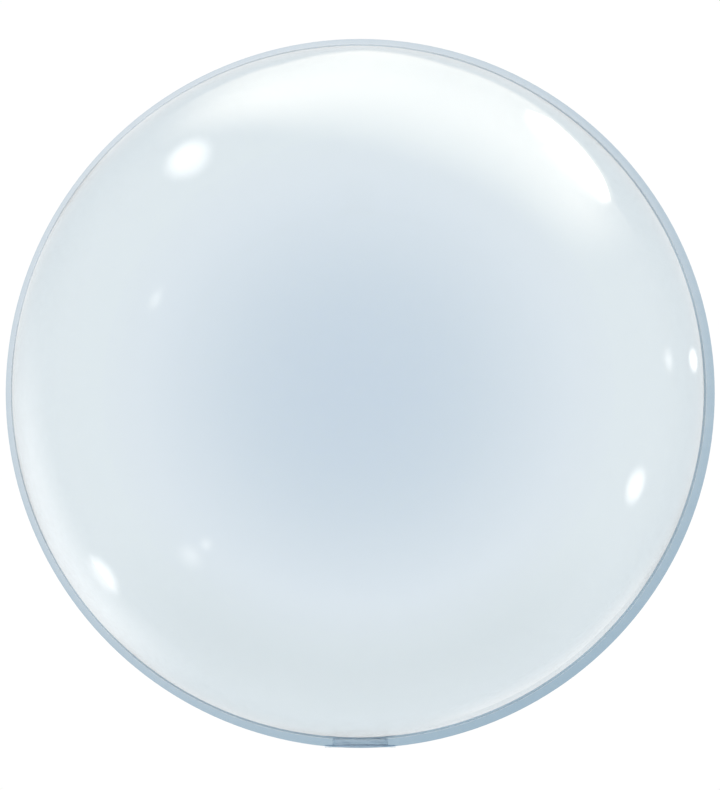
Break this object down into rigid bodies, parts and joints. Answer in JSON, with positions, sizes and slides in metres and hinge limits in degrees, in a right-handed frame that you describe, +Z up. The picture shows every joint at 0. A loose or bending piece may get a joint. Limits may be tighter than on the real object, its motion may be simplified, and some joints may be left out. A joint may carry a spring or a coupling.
{
  "type": "clear bubble balloon",
  "caption": "Clear stretch-film bubble balloon, blown up and lying on its back, with a thin welded rim round its middle and a flat neck creased back at the rim.",
  "frame": {"origin": "on the floor, straight below the middle of the round rim, at the bottom centre of the bounding box", "axes": "+Z up through both domes and the shortest way across; the rim lies level, and its neck is on the -Y side; +X to the right seen from the neck"},
  "size_m": [0.56, 0.56, 0.5061],
  "materials": {
    "clear_film": "clear, smooth and glossy stretch film with a faint cool tint"
  },
  "bodies": {
    "root": {"bubble": "clear_film"}
  },
  "joints": []
}
